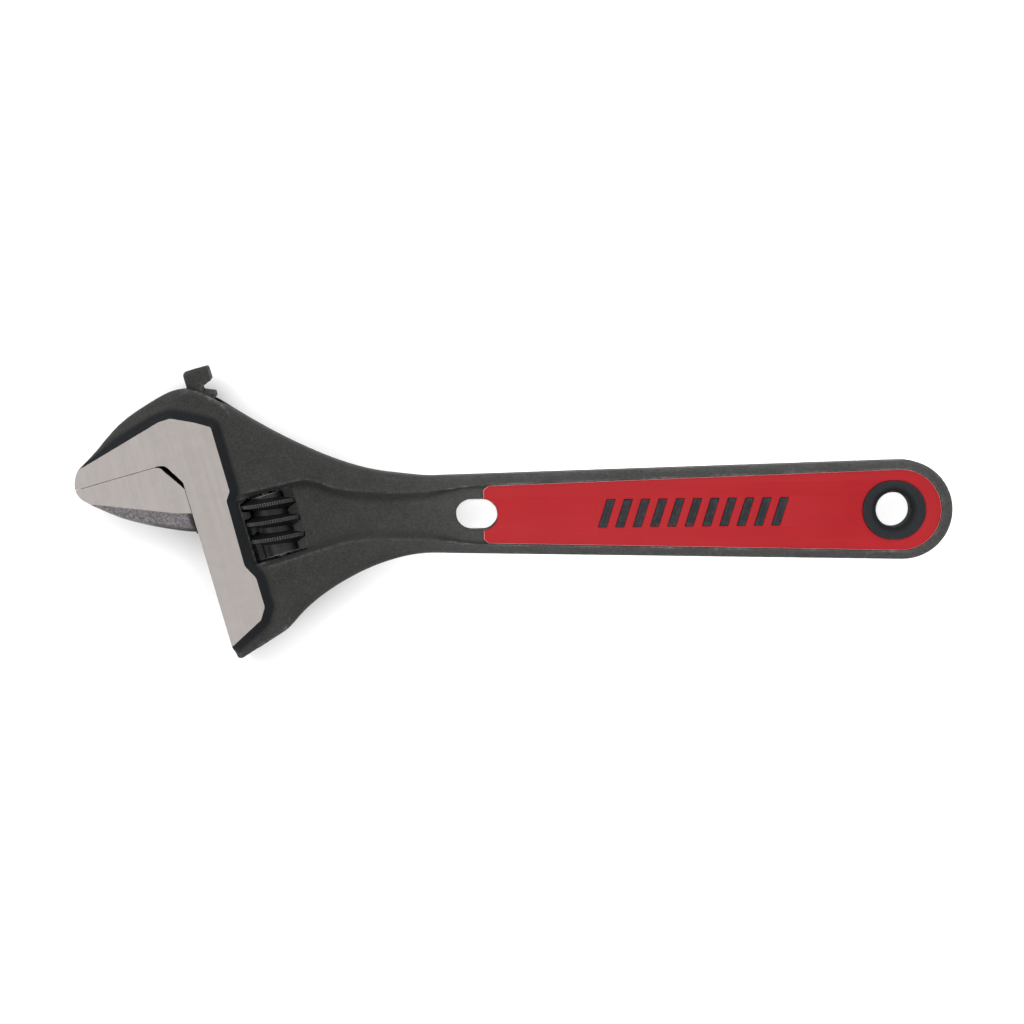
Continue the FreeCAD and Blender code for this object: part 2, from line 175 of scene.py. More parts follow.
def rounded(corners, count=5):
    """A closed outline from (point, corner radius) pairs, each corner turned by a small arc."""
    made = []
    for i, (point, radius) in enumerate(corners):
        to_last = corners[i - 1][0] - point
        to_next = corners[(i + 1) % len(corners)][0] - point
        last_way = to_last / np.linalg.norm(to_last)
        next_way = to_next / np.linalg.norm(to_next)
        half = math.acos(np.clip(last_way @ next_way, -1, 1)) / 2
        if radius == 0 or half > 1.5:
            made.append(point)
            continue
        back = radius / math.tan(half)
        inward = (last_way + next_way) / np.linalg.norm(last_way + next_way)
        middle = point + inward * radius / math.sin(half)
        start = point + last_way * back
        end = point + next_way * back
        peak = middle + (point - middle) / np.linalg.norm(point - middle) * radius
        made.append(start)
        made.extend(arc(start, peak, end, count))
    return np.array(made)


def outline_distance(x, y, outline):
    """Distance from points to a closed outline, negative inside it."""
    x, y = np.broadcast_arrays(x, y)
    nearest = np.full(x.shape, np.inf)
    inside = np.zeros(x.shape, bool)
    for (ax, ay), (bx, by) in zip(outline, np.roll(outline, -1, axis=0)):
        ex, ey = bx - ax, by - ay
        px, py = x - ax, y - ay
        along = np.clip((px * ex + py * ey) / (ex * ex + ey * ey), 0, 1)
        nearest = np.minimum(nearest, (px - along * ex)**2 + (py - along * ey)**2)
        if ay != by:
            inside ^= ((ay > y) != (by > y)) & (px < ex * py / ey)
    return np.where(inside, -1.0, 1.0) * np.sqrt(nearest)


def oblong_distance(x, y, middle, length, height):
    """Distance to a hole or ring with straight sides and round ends, along the handle."""
    reach = (length - height) / 2
    return np.hypot(np.maximum(np.abs(x - middle) - reach, 0), y) - height / 2


def eased(share):
    """0 below 0, 1 above 1 and a smooth rise between."""
    share = np.clip(share, 0, 1)
    return share * share * (3 - 2 * share)


def blend_low(a, b, width):
    """The lower of two heights, run into each other over a width."""
    share = np.clip(0.5 + 0.5 * (b - a) / width, 0, 1)
    return b + (a - b) * share - width * share * (1 - share)


def blend_high(a, b, width):
    """The higher of two heights, run into each other over a width."""
    return -blend_low(-a, -b, width)


def edge_round(a, b, radius):
    """Inside both a and b, with the edge between them rounded."""
    u = np.maximum(a + radius, 0)
    v = np.maximum(b + radius, 0)
    return np.minimum(np.maximum(a, b), -radius) + np.hypot(u, v)


def in_head(x, y):
    """p and a of points given in the row frame."""
    dx, dy = x - corner[0], y - corner[1]
    return dx * across[0] + dy * across[1], dx * opening[0] + dy * opening[1]


def end_edge(x, radius, slope, side=1):
    """Where a straight edge of the given slope runs into the handle's round end."""
    return np.array([x, 0]) + radius / math.hypot(slope, 1) * np.array([-slope, side])


def forging_outline():
    """Silhouette from the jaw tip down the slide, along the handle and back over the head."""
    neck_top = neck(NECK_FROM_CORNER, NECK_ABOVE)
    neck_foot = neck(NECK_FROM_CORNER, -NECK_BELOW)
    rise = (END_RADIUS - NECK_ABOVE) / (END_X - neck_top[0])
    fall = (END_RADIUS - NECK_BELOW) / (END_X - neck_top[0])
    end_top = end_edge(END_X, END_RADIUS, rise)
    end_foot = end_edge(END_X, END_RADIUS, fall, -1)
    tip, foot = -JAW_LENGTH, SLIDE_LENGTH
    shoulder = head(12.6, foot - 3.5)
    brow = head(tip + 2.2, -4.5)
    made = [head(tip, 0), head(-4.7, 0)]
    made += arc(head(-4.7, 0), head(-3.5, 0.25), head(-2.6, 0.9), 4)
    made += [head(0, CORNER_FOOT), head(0, foot - 1.1)]
    made += arc(head(0, foot - 1.1), head(0.35, foot - 0.2), head(1.2, foot), 4)
    made += [shoulder]
    made += sweep(
        [shoulder, neck(28, -23.5), neck(35.2, -17.5), neck(42.4, -13.4), neck(49.5, -10.6), neck_foot],
        shoulder - head(1.2, foot), np.array([1, -fall]),
    )
    made += [end_foot]
    made += arc(end_foot, np.array([END_X + END_RADIUS, 0]), end_top, 28)
    made += [neck_top]
    made += sweep(
        [
            neck_top, neck(53.3, 9.7), neck(46.2, 10.7), neck(32, 15.4), neck(17.8, 22.7),
            head(12.8, -11.0), head(5.4, -16.0), head(-2.2, -15.1), head(-11.5, -11.8), brow,
        ],
        np.array([-1, -rise]), np.array([-0.72, -0.7]),
    )
    made += arc(brow, head(tip + 0.6, -2.3), head(tip, 0), 6)
    return np.array(made[:-1])


def fixed_ground_outline():
    """The bright face of the fixed jaw and of the strip beside the slide."""
    tip, strip, foot = -JAW_LENGTH, STRIP_WIDTH, SLIDE_LENGTH
    return rounded([
        (head(tip - 3, 3), 0), (head(tip - 3, -1.6), 0), (head(tip + 2.8, -4.5), 1.5),
        (head(-1.6, -9.9), 2.0), (head(1.3, -10.0), 2.0), (head(6.5, -7.5), 3.0),
        (head(strip, -5.4), 0.8), (head(strip, 10.3), 0.8), (head(strip - 1.35, 12.2), 1.6),
        (head(strip - 1.6, 28.2), 2.4), (head(strip + 0.2, 31.6), 2.4), (head(strip + 0.2, 38.8), 1.6),
        (head(strip - 1.5, 41.5), 1.6), (head(0.3, foot - 3.7), 0), (head(-3, foot - 2.4), 0),
        (head(-3, 3), 0),
    ])


FLIP = np.array([1, -1])    # from the handle's upper half to its lower


def tapered(start_half, end_half):
    """Upper edge of the recess or its inlay: the slope and the two ends."""
    slope = (end_half - start_half) / (PANEL_END_X - PANEL_START)
    return slope, np.array([PANEL_START, start_half]), end_edge(PANEL_END_X, end_half, slope)


def recess_outline():
    """The recess in each side: tapered round the inlay, narrow at the neck, flared at the worm."""
    slope, start_top, end_top = tapered(RECESS_AT_NECK, RECESS_AT_EYE)
    made = [head(8.0, 11.6), head(24.0, 12.3)]
    made += sweep(
        [
            head(24.0, 12.3), head(28.0, 12.9), neck(36, 7.0), neck(43, 5.9), neck(50, 5.5),
            neck(60, 5.75), start_top,
        ],
        across, np.array([1, slope]),
    )
    made += [end_top]
    made += arc(end_top, np.array([PANEL_END_X + RECESS_AT_EYE, 0]), end_top * FLIP, 24)
    made += [start_top * FLIP]
    made += sweep(
        [
            start_top * FLIP, neck(60, -5.75), neck(50, -5.4), neck(41, -5.7), neck(35, -7.2),
            head(23.0, 29.6), head(18.0, 29.8),
        ],
        np.array([-1, slope]), -across,
    )
    made += [head(8.0, 29.9)]
    return np.array(made)


forging_edge = forging_outline()
fixed_ground = fixed_ground_outline()
recess_edge = recess_outline()


def bar_distance(x, y):
    """Distance to the nearest of the row of slanted bars."""
    u = x - y * math.tan(BAR_SLANT) - BAR_MIDDLE
    half_row = (BAR_COUNT - 1) / 2
    place = np.clip(np.round(u / BAR_PITCH + half_row), 0, BAR_COUNT - 1) - half_row
    aside = np.abs(u - place * BAR_PITCH) * math.cos(BAR_SLANT)
    return np.maximum(aside - BAR_WIDTH / 2, np.abs(y) - BAR_HEIGHT / 2)


def head_share(x):
    """0 along the handle, 1 in the head and a smooth change over the neck."""
    return eased((NECK_FROM_CORNER + 4 - (x - corner[0])) / 24)


def forging_height(x, y, ground):
    """Half the forging's thickness over its plan, before the holes are cut."""
    land = HALF_HANDLE + (HALF_LAND - HALF_HANDLE) * head_share(x)
    to_neck = eased((PANEL_START - 1.5 - x) / 12)
    to_worm = eased((WORM_RECESS_X - x) / 12)
    floor = PANEL_FLOOR + (NECK_FLOOR - PANEL_FLOOR) * to_neck
    steepness = WALL_STEEPNESS + (NECK_STEEPNESS - WALL_STEEPNESS) * to_neck
    steepness = steepness + (WORM_STEEPNESS - NECK_STEEPNESS) * to_worm
    wall = land + outline_distance(x, y, recess_edge) * steepness
    bed = blend_high(floor, wall, 0.12 + 0.5 * to_neck)
    height = blend_low(land, bed, 0.12 + 0.3 * to_neck)
    ridge = RIDGE_HEIGHT * np.exp(-((ground - RIDGE_PLACE) / RIDGE_WIDTH)**2) * eased((y - corner[1]) / 8)
    height = blend_high(height + ridge, HALF_JAW - BAND_SLOPE * np.maximum(ground, 0), 0.5)
    past_ring = np.maximum(oblong_distance(x, y, 0, RING_LENGTH, RING_HEIGHT), 0)
    ring = HALF_HANDLE - WALL_STEEPNESS * past_ring
    bars = BAR_TOP - WALL_STEEPNESS * np.maximum(bar_distance(x, y), 0)
    return np.maximum(height, blend_high(ring, bars, 0.05))


def worm_window(p, a, z):
    """The opening for the worm, negative inside: straight beside the rack, round behind the worm."""
    flare = WINDOW_FLARE * np.maximum(np.abs(z) - WINDOW_STRAIGHT, 0)
    ends = np.maximum(WINDOW_TOP - a, a - WINDOW_FOOT)
    front = np.maximum(WINDOW_FRONT - flare - p, p - WORM_PLACE)
    round_part = np.hypot(p - WORM_PLACE, z) - WINDOW_RADIUS
    return edge_round(np.minimum(front, round_part), ends, 0.5)


def forging(x, y, z):
    """Negative inside the steel, in millimetres."""
    p, a = in_head(x, y)
    depth = np.abs(z)
    ground = outline_distance(x, y, fixed_ground)
    rim = outline_distance(x, y, forging_edge)
    by_bore = 1 - eased((np.abs(p - ROD_PLACE) - 3.4) / 2.5)
    full = EDGE_AT_HANDLE + (EDGE_AT_HEAD - EDGE_AT_HANDLE) * head_share(x)
    radius = EDGE_AT_GROUND + full * eased(ground / BAND_WIDTH) * (1 - 0.8 * by_bore)
    solid = edge_round(depth - forging_height(x, y, ground), rim, radius)
    up_funnel = np.clip((depth - EYE_THROAT) / EYE_FUNNEL, 0, 1)
    mouth = EYE_RADIUS + EYE_MOUTH * (1 - np.sqrt(1 - up_funnel**2))
    rod_bore = np.hypot(p - ROD_PLACE, z) - ROD_RADIUS - ROD_GAP
    key_way = np.maximum(np.maximum(p - ROD_PLACE, KEY_TOP - KEY_GAP - a), depth - KEY_HALF - KEY_GAP)
    pin_hole = np.maximum(np.hypot(p - WORM_PLACE, z) - PIN_RADIUS, PIN_START - a)
    for hole in (
        oblong_distance(x, y, SLOT_X, SLOT_LENGTH, SLOT_HEIGHT), np.hypot(x, y) - mouth,
        worm_window(p, a, z), rod_bore, key_way, pin_hole,
    ):
        solid = np.maximum(solid, -hole)
    return solid


def parted(vertices, faces):
    """The same shell with a vertex for each sheet wherever two sheets touch along an edge."""
    sides = np.sort(np.stack([faces, np.roll(faces, -1, axis=1)], -1).reshape(-1, 2), axis=1)
    edges, number = np.unique(sides, axis=0, return_counts=True)
    for spot in np.unique(edges[number > 2]):
        fan = np.flatnonzero((faces == spot).any(axis=1)).tolist()
        around = {}
        for face in fan:
            place = faces[face].tolist().index(spot)
            for other in (faces[face][place - 1], faces[face][(place + 1) % 4]):
                around.setdefault(int(other), []).append(face)
        while fan:
            sheet = fan[:1]
            for face in sheet:
                for pair in around.values():
                    if len(pair) == 2 and face in pair:
                        sheet += [other for other in pair if other not in sheet]
            fan = [face for face in fan if face not in sheet]
            if fan:
                faces[sheet] = np.where(faces[sheet] == spot, len(vertices), faces[sheet])
                vertices = np.vstack([vertices, vertices[spot]])
    return vertices, faces


FLATNESS = 0.03             # below this a cell's surface counts as flat in that direction


def shell_of(field, low, high, step):
    """Vertices and quads of the surface where the field is zero, with its sharp edges kept."""
    counts = [int(math.ceil((b - a) / s)) + 1 for a, b, s in zip(low, high, step)]
    x, y, z = (a + s * np.arange(n) for a, s, n in zip(low, step, counts))
    value = field(x[:, None, None], y[None, :, None], z[None, None, :])
    low, step = np.array(low), np.array(step)
    cells = np.array(counts) - 1
    strides = np.array([cells[1] * cells[2], cells[2], 1])
    places, normals, owners, quads = [], [], [], []
    for axis in range(3):
        near, far = np.delete(value, -1, axis), np.delete(value, 0, axis)
        found = np.argwhere((near < 0) != (far < 0))
        start, end = near[tuple(found.T)], far[tuple(found.T)]
        one, two = [(1, 2), (2, 0), (0, 1)][axis]
        t0, t1 = np.zeros(len(found)), np.ones(len(found))
        for _ in range(2):
            t = np.clip(t0 + (t1 - t0) * start / (start - end), t0, t1)
            point = low + step * found
            point[:, axis] += step[axis] * t
            here = field(*point.T)
            same = (here < 0) == (start < 0)
            t0, start = np.where(same, t, t0), np.where(same, here, start)
            t1, end = np.where(same, t1, t), np.where(same, end, here)
        t = t0 + (t1 - t0) * start / np.where(start == end, 1, start - end)
        point = low + step * found
        point[:, axis] += step[axis] * np.clip(t, 0, 1)
        nudges = 0.01 * np.eye(3)
        slope = np.stack([field(*(point + way).T) - field(*(point - way).T) for way in nudges], -1)
        slope /= np.linalg.norm(slope, axis=1, keepdims=True) + 1e-12
        ring = []
        for d1, d2 in ((-1, -1), (0, -1), (0, 0), (-1, 0)):
            cell = found.copy()
            cell[:, one] += d1
            cell[:, two] += d2
            ring.append(cell @ strides)
            places.append(point)
            normals.append(slope)
            owners.append(ring[-1])
        ring = np.stack(ring, -1)
        inside_first = near[tuple(found.T)] < 0
        quads.append(np.where(inside_first[:, None], ring, ring[:, ::-1]))
    places, normals, owners = np.concatenate(places), np.concatenate(normals), np.concatenate(owners)
    used, owner = np.unique(owners, return_inverse=True)
    count = len(used)

    def gathered(weight):
        return np.bincount(owner, weight, count)

    number = gathered(None)
    middle = np.stack([gathered(places[:, i]) for i in range(3)], -1) / number[:, None]
    offset = np.einsum("ij,ij->i", normals, places - middle[owner])
    matrix = np.stack([gathered(normals[:, i] * normals[:, j]) for i in range(3) for j in range(3)], -1)
    right = np.stack([gathered(normals[:, i] * offset) for i in range(3)], -1)
    sizes, ways = np.linalg.eigh(matrix.reshape(-1, 3, 3))
    keep = sizes > FLATNESS * sizes[:, 2:]
    part = np.einsum("nji,nj->ni", ways, right) * np.where(keep, 1 / np.where(keep, sizes, 1), 0)
    vertex = middle + np.einsum("nij,nj->ni", ways, part)
    cell = np.stack(np.unravel_index(used, cells), -1)
    vertex = np.clip(vertex, low + step * cell, low + step * (cell + 1))
    faces = np.searchsorted(used, np.concatenate(quads))
    return parted(vertex, faces)


def placed(name, data):
    """A new object in the scene."""
    made = bpy.data.objects.new(name, data)
    bpy.context.scene.collection.objects.link(made)
    return made


def new_piece(name, mesh, materials):
    """An object with smooth faces and the given materials."""
    mesh.name = name
    mesh.materials.clear()
    for material in materials:
        mesh.materials.append(material)
    mesh.polygons.foreach_set("use_smooth", np.ones(len(mesh.polygons), bool))
    return placed(name, mesh)


def shell_piece(name, field, low, high, step):
    """The steel inside a field given in millimetres, with the two finishes of the forgings."""
    vertices, faces = shell_of(field, low, high, (step,) * 3)
    mesh = bpy.data.meshes.new(name)
    mesh.from_pydata((vertices * MM).tolist(), [], faces.tolist())
    return new_piece(name, mesh, [black_steel, bright_steel])


def vertex_places(mesh):
    """Every vertex's place in the row frame, in millimetres."""
    places = np.zeros(len(mesh.vertices) * 3)
    mesh.vertices.foreach_get("co", places)
    return places.reshape(-1, 3) / MM


def mark(mesh, name, values):
    """A named number at every vertex, for the materials to read."""
    mesh.attributes.new(name, "FLOAT", "POINT").data.foreach_set("value", values.astype(np.float32))


def face_centres(mesh):
    """Every face's middle in the row frame, in millimetres, and its outward normal."""
    middles = np.zeros(len(mesh.polygons) * 3)
    normals = np.zeros(len(mesh.polygons) * 3)
    mesh.polygons.foreach_get("center", middles)
    mesh.polygons.foreach_get("normal", normals)
    return middles.reshape(-1, 3) / MM, normals.reshape(-1, 3)


def finish_faces(mesh, second, angle):
    """The second material on some faces, with sharp edges where it ends or the surface turns."""
    finish = second.astype(int)
    mesh.polygons.foreach_set("material_index", finish)
    mesh.set_sharp_from_angle(angle=math.radians(angle))
    edge_of = np.zeros(len(mesh.loops), int)
    mesh.loops.foreach_get("edge_index", edge_of)
    sides = np.zeros(len(mesh.polygons), int)
    mesh.polygons.foreach_get("loop_total", sides)
    finish = np.repeat(finish, sides)
    low = np.full(len(mesh.edges), 99)
    high = np.full(len(mesh.edges), -1)
    np.minimum.at(low, edge_of, finish)
    np.maximum.at(high, edge_of, finish)
    sharp = np.zeros(len(mesh.edges), bool)
    mesh.attributes["sharp_edge"].data.foreach_get("value", sharp)
    mesh.attributes["sharp_edge"].data.foreach_set("value", sharp | (low != high))


def mark_edge_wear_and_shade(mesh, rounds=3, floor=0.0):
    """Attribute edge_wear_and_hollow_shade: above 0 on the proud edges that hands and benches rub, below 0
    in hollows, which the black finish darkens as painted shade.
    """
    count = len(mesh.vertices)
    place = vertex_places(mesh)
    normal = np.zeros(count * 3)
    ends = np.zeros(len(mesh.edges) * 2, int)
    mesh.vertex_normals.foreach_get("vector", normal)
    mesh.edges.foreach_get("vertices", ends)
    normal, ends = normal.reshape(-1, 3), ends.reshape(-1, 2)
    one, two = np.concatenate([ends[:, 0], ends[:, 1]]), np.concatenate([ends[:, 1], ends[:, 0]])
    number = np.bincount(one, minlength=count)
    rise = np.einsum("ij,ij->i", place[one] - place[two], normal[one])
    wear_and_shade = np.bincount(one, rise, count) / number
    for _ in range(rounds):
        wear_and_shade = 0.5 * wear_and_shade + 0.5 * np.bincount(one, wear_and_shade[two], count) / number
    if floor:
        wear_and_shade *= np.where(wear_and_shade > 0, eased((np.abs(place[:, 2]) - floor) / 0.8), 1)
    mark(mesh, "edge_wear_and_hollow_shade", wear_and_shade)


class Wire:
    """A socket in a node tree. Sums and products of it add Math nodes."""

    def __init__(self, tree, socket=None):
        self.tree = tree
        self.socket = socket

    def node(self, kind, settings=None, values=None, output=0):
        made = self.tree.nodes.new(kind)
        for name, setting in (settings or {}).items():
            if name == "stops":
                for stop, (place, colour) in zip(made.color_ramp.elements, setting):
                    stop.position = place
                    stop.color = colour
            else:
                setattr(made, name, setting)
        for key, value in (values or {}).items():
            if isinstance(value, Wire):
                self.tree.links.new(value.socket, made.inputs[key])
            else:
                made.inputs[key].default_value = value
        return Wire(self.tree, made.outputs[output])

    def maths(self, operation, *terms, clamp=False):
        settings = {"operation": operation, "use_clamp": clamp}
        return self.node("ShaderNodeMath", settings, dict(enumerate(terms)))

    def __add__(self, other):
        return self.maths("ADD", self, other)

    def __sub__(self, other):
        return self.maths("SUBTRACT", self, other)

    def __rsub__(self, other):
        return self.maths("SUBTRACT", other, self)

    def __mul__(self, other):
        return self.maths("MULTIPLY", self, other)

    def __truediv__(self, other):
        return self.maths("DIVIDE", self, other)

    __radd__ = __add__
    __rmul__ = __mul__

    def between(self, low, high):
        """0 below low, 1 above high and smooth between."""
        return self.node(
            "ShaderNodeMapRange", {"interpolation_type": "SMOOTHSTEP"},
            {"Value": self, "From Min": low, "From Max": high},
        )

    def colour(self, low, high):
        """low where this is 0 and high where it is 1."""
        return self.node("ShaderNodeMix", {"data_type": "RGBA"}, {0: self, 6: low, 7: high}, 2)

    def object_place(self):
        return self.node("ShaderNodeTexCoord", output="Object")

    def noise(self, place, size, detail=3.0, roughness=0.55):
        """Cloudy pattern with patches of about the given size in metres."""
        return self.node(
            "ShaderNodeTexNoise", None,
            {"Vector": place, "Scale": 1 / size, "Detail": detail, "Roughness": roughness},
        )

    def mapped(self, key, value):
        """This place, turned or stretched."""
        return self.node("ShaderNodeMapping", None, {"Vector": self, key: value})

    def attribute(self, name):
        return self.node("ShaderNodeAttribute", {"attribute_name": name}, output="Fac")

    def bump(self, height, depth, strength=1.0):
        values = {"Height": height, "Distance": depth, "Strength": strength}
        return self.node("ShaderNodeBump", None, values)


def new_finish(name, feeds, **constants):
    """A material with one Principled shader. feeds makes what changes over the surface."""
    material = bpy.data.materials.new(name)
    material.use_nodes = True
    tree = material.node_tree
    shader = tree.nodes["Principled BSDF"]
    for key, value in constants.items():
        shader.inputs[key.replace("_", " ")].default_value = value
    for key, wire in feeds(Wire(tree)).items():
        tree.links.new(wire.socket, shader.inputs[key.replace("_", " ")])
    return material


def black_phosphate(maths):
    """Matt black over a forged skin: fine grit, soft scale marks, proud edges rubbed grey, hollows
    darkened as painted shade.
    """
    place = maths.object_place()
    grit = maths.noise(place, 0.0004, 4.0, 0.7).between(0.3, 0.7)
    cloud = maths.noise(place, 0.007, 5.0, 0.6)
    scale = maths.noise(place, 0.0022, 3.0, 0.5)
    wear_and_shade = maths.attribute("edge_wear_and_hollow_shade")
    worked = maths.attribute("worked_face")
    patchy = maths.noise(place, 0.0011, 4.0, 0.65).between(0.36, 0.66)
    rubbed = wear_and_shade.between(0.012, 0.085) * (0.12 + 0.95 * patchy) * (1.0 - 0.85 * worked)
    # Painted shade: where edge_wear_and_hollow_shade falls below 0, in hollows, the colour is darkened
    # towards near black.
    hollow_shade = (0.0 - wear_and_shade).between(0.01, 0.05)
    skin = (0.4 * cloud + 0.6 * grit).colour((0.011, 0.0112, 0.0106, 1), (0.046, 0.0463, 0.0436, 1))
    face = (0.9 * worked).colour(skin, (0.0175, 0.0192, 0.0218, 1))
    grey = rubbed.maths("MINIMUM", rubbed, 1.0).colour(face, (0.1, 0.105, 0.108, 1))
    colour = (0.5 * hollow_shade).colour(grey, (0.016, 0.0155, 0.0145, 1))
    band = maths.attribute("bare_band")
    flake = maths.noise(place, 0.00055, 4.0, 0.75).between(0.34, 0.68)
    stain = maths.noise(place, 0.0019, 3.0, 0.6)
    bare = (0.75 * flake + 0.25 * stain).colour((0.052, 0.047, 0.053, 1), (0.245, 0.23, 0.24, 1))
    relief = 0.6 * grit + 0.35 * scale + 0.5 * band * flake
    return {
        "Base Color": band.colour(colour, bare),
        "Metallic": 0.4 + 0.5 * worked,
        "Roughness": 0.76 - 0.14 * cloud - 0.16 * rubbed - 0.2 * band + 0.08 * grit,
        "Normal": maths.bump(relief, 0.00011, 0.9),
    }


GRIND_ANGLE = math.atan2(across[1], across[0])


def ground_steel(maths):
    """Bright face left by the surface grinder, with its fine lines along the slide."""
    place = maths.object_place()
    turned = place.mapped("Rotation", (0, 0, -GRIND_ANGLE))
    fine = maths.noise(turned.mapped("Scale", (5200, 45, 900)), 1.0, 3.0, 0.5)
    bands = maths.noise(turned.mapped("Scale", (900, 14, 200)), 1.0, 2.0, 0.5)
    cloud = maths.noise(place, 0.012, 3.0)
    mottle = maths.noise(place, 0.0024, 3.0, 0.6)
    tone = 0.3 * fine + 0.25 * bands + 0.2 * cloud + 0.25 * mottle
    return {
        "Base Color": tone.between(0.25, 0.75).colour((0.27, 0.248, 0.236, 1), (0.33, 0.303, 0.29, 1)),
        "Roughness": 0.37 + 0.1 * fine + 0.1 * mottle,
        "Normal": maths.bump(0.7 * fine + 0.3 * bands, 0.000008, 0.55),
    }


black_steel = new_finish("black_phosphate", black_phosphate, Specular_IOR_Level=0.23)
bright_steel = new_finish("ground_steel", ground_steel, Metallic=0.7)

wrench_body = shell_piece("forged_body", forging, (-195.5, -36.0, -7.75), (15.0, 32.5, 7.75), FORGING_STEP)
x, y, z = face_centres(wrench_body.data)[0].T
p, a = in_head(x, y)
machined = np.abs(z) > HALF_JAW - NEAR_FACE
machined |= (np.abs(a) < NEAR_EDGE) & (p < -4.6)
machined |= (np.abs(p) < NEAR_EDGE) & (a > CORNER_FOOT - 0.4) & (a < SLIDE_LENGTH - 1.2)
finish_faces(wrench_body.data, machined, SHARP_TURN)
mark_edge_wear_and_shade(wrench_body.data, floor=3.2)
x, y, z = vertex_places(wrench_body.data).T
band = (1 - eased((outline_distance(x, y, fixed_ground) - 1.6) / 1.0)) * eased((np.abs(z) - 4.2) / 0.9)
raised = np.minimum(oblong_distance(x, y, 0, RING_LENGTH, RING_HEIGHT), bar_distance(x, y))
mark(wrench_body.data, "worked_face", np.maximum(band, 1 - eased((raised - 0.1) / 0.3)))
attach(wrench_body, "frame")
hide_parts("wrench_body")

# ----------------------------------------
# Movable jaw: a second forging. Its jaw, the key that slides in the head's slot and the round
# toothed rod behind it are one piece. The rack's gaps lean with the worm's thread.

SLIDE_GAP = 0.1
ROD_TOP = 19.7
ROD_FOOT = 17.9
TIP_RISE = 2.6              # flat tooth tips beyond the rod's axis
PITCH = 4.2
MESH_PLACE = 14.6           # middle of a rack gap below the jaw face, closed
GAP_ROOT = 0.57             # half the gap at its foot and at the teeth's tips
GAP_MOUTH = 1.57
TOOTH_DEPTH = 2.7
PITCH_DIAMETER = 11.1       # of the worm, where its thread leans as the rack's gaps do
THREAD_LEAD = PITCH / (math.pi * PITCH_DIAMETER)
JAW_TOP = 6.8               # the jaw meets the slide here, below the fillet in the corner
JAW_STEP = 0.26


def jaw_outline():
    """Silhouette of the movable jaw, closed."""
    tip, gap = -JAW_LENGTH, SLIDE_GAP
    made = [head(tip, gap), head(-5.5, gap)]
    made += arc(head(-5.5, gap), head(-4.45, 0.43), head(-3.75, 1.3), 5)
    made += [head(-gap, JAW_TOP), head(-gap, 17.8)]
    chin = head(tip + 1.6, 3.4)
    made += sweep(
        [head(-gap, 17.8), head(-6.4, 15.2), head(-12.0, 12.3), head(tip + 3.6, 5.4), chin],
        -across - 0.3 * opening, -across - 0.95 * opening,
    )
    made += arc(chin, head(tip + 0.4, 1.8), head(tip, gap), 6)
    return np.array(made[:-1])


def jaw_ground_outline():
    """The bright face of the movable jaw, run out past its machined edges."""
    tip = -JAW_LENGTH
    return rounded([
        (head(tip - 3, -3), 0), (head(3, -3), 0), (head(3, 12.9), 0), (head(-0.4, 12.7), 1.0),
        (head(-3.8, 11.7), 4.0), (head(tip + 5.4, 5.3), 4.0), (head(tip + 2.0, 4.0), 3.0),
        (head(tip - 3, 1.8), 0),
    ])


jaw_edge = jaw_outline()
jaw_ground = jaw_ground_outline()


def moving_jaw(x, y, z):
    """Negative inside the steel, in millimetres."""
    p, a = in_head(x, y)
    depth = np.abs(z)
    ground = outline_distance(x, y, jaw_ground)
    rim = outline_distance(x, y, jaw_edge)
    band = HALF_JAW - 0.5 * np.maximum(ground, 0) - 1.1 * np.maximum(ground - 3.0, 0)
    jaw = edge_round(depth - band, rim, 0.12 + 1.0 * eased(ground / 1.5))
    key = np.maximum(np.maximum(-1 - p, p - ROD_PLACE), np.maximum(KEY_TOP - a, a - ROD_FOOT))
    key = np.maximum(key, depth - KEY_HALF)
    rod = edge_round(np.hypot(p - ROD_PLACE, z) - ROD_RADIUS, -ROD_TOP - a, 1.1)
    rod = edge_round(rod, p - ROD_PLACE - TIP_RISE, 0.15)
    rod = edge_round(rod, a - ROD_FOOT, 0.2)
    place = a - THREAD_LEAD * z - MESH_PLACE
    place = place - PITCH * np.clip(np.round(place / PITCH), -7, 1)
    rise = p - (ROD_PLACE + TIP_RISE - TOOTH_DEPTH)
    flank = np.abs(place) - GAP_ROOT - rise * (GAP_MOUTH - GAP_ROOT) / TOOTH_DEPTH
    rod = np.maximum(rod, -np.maximum(flank * 0.94, -rise))
    return np.minimum(np.minimum(jaw, key), rod)


reach = [head(-26, 19), head(-26, -3), head(14, -21), head(14, 19)]
low = np.min(reach, axis=0) - 0.5
high = np.max(reach, axis=0) + 0.5
low, high = (low[0] + 0.05, low[1], -7.41), (*high, 7.41)
sliding_jaw = shell_piece("sliding_jaw", moving_jaw, low, high, JAW_STEP)
x, y, z = face_centres(sliding_jaw.data)[0].T
p, a = in_head(x, y)
machined = np.abs(z) > HALF_JAW - NEAR_FACE
machined |= (np.abs(a - SLIDE_GAP) < NEAR_EDGE) & (p < -5.0)
machined |= (np.abs(p + SLIDE_GAP) < NEAR_EDGE) & (a > JAW_TOP - 0.1)
finish_faces(sliding_jaw.data, machined, SHARP_TURN)
mark_edge_wear_and_shade(sliding_jaw.data)
x, y, z = vertex_places(sliding_jaw.data).T
p, a = in_head(x, y)
on_band = (p < -SLIDE_GAP - 0.02) & (a > 2.0) & (outline_distance(x, y, jaw_ground) > -0.05)
by_edge = eased(outline_distance(x, y, jaw_edge) / 0.5 + 2.6) * eased((p + 12.0) / 3.0)
by_slide = eased((p + 1.6) / 0.7)
rubbed_off = on_band * eased((np.abs(z) - 3.0) / 1.5) * (1 - 0.55 * by_edge) * (1 - 0.6 * by_slide)
mark(sliding_jaw.data, "bare_band", rubbed_off)
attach(sliding_jaw, "jaw")
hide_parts("movable_jaw")

